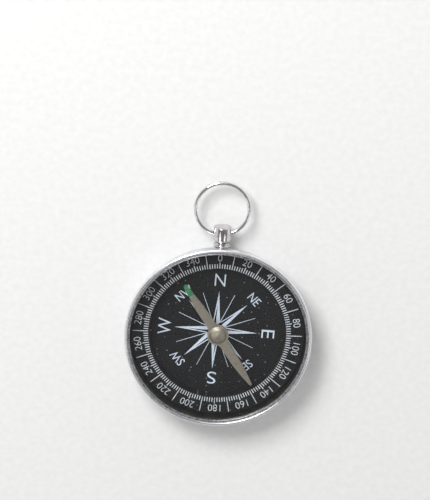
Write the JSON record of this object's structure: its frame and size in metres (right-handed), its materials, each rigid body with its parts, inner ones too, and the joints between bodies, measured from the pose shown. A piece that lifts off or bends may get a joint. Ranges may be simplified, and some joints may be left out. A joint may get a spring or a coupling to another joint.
{
  "type": "pocket compass",
  "caption": "Lidless round pocket compass with a swinging needle under a clear lens, a crown knob and a bow ring that swings.",
  "frame": {"origin": "centre of the case's flat back", "axes": "+Z out of the dial, +Y from the case's centre to the crown at 12 o'clock, +X to 3 o'clock"},
  "size_m": [0.045, 0.0608, 0.0078],
  "materials": {
    "case_aluminium": "satin, drawn",
    "bezel_aluminium": "polished crown, satin valley",
    "lens_acrylic": "clear, polished",
    "dial_black": "black with white print",
    "ring_black": "black with white print",
    "brass": "turned",
    "pin_steel": "hardened and ground",
    "needle_steel": "stamped, dull, green painted north tip",
    "rivet_aluminium": "satin",
    "nickel_plate": "bright nickel plate",
    "bow_nickel": "bright nickel plate on steel wire"
  },
  "bodies": {
    "case": {"case_cup": "case_aluminium", "bezel_ring": "bezel_aluminium", "lens": "lens_acrylic", "dial_card": "dial_black", "degree_ring": "ring_black", "pivot_base": "brass", "pivot_pin": "pin_steel", "stem_rivet": "rivet_aluminium", "stem_washer": "nickel_plate", "stem": "nickel_plate", "crown_knob": "nickel_plate"},
    "needle": {"needle": "needle_steel", "needle_bearing": "brass"},
    "bow": {"bow_ring": "bow_nickel"}
  },
  "joints": [
    {"name": "needle_swing", "type": "hinge", "parent": "case", "child": "needle", "pos_m": [0, 0, 0.0053], "axis": [0, 0, 1], "continuous": true},
    {"name": "bow_swing", "type": "hinge", "parent": "case", "child": "bow", "pos_m": [0, 0.0252, 0.00353], "axis": [1, 0, 0], "range_deg": [-145, 125]}
  ]
}
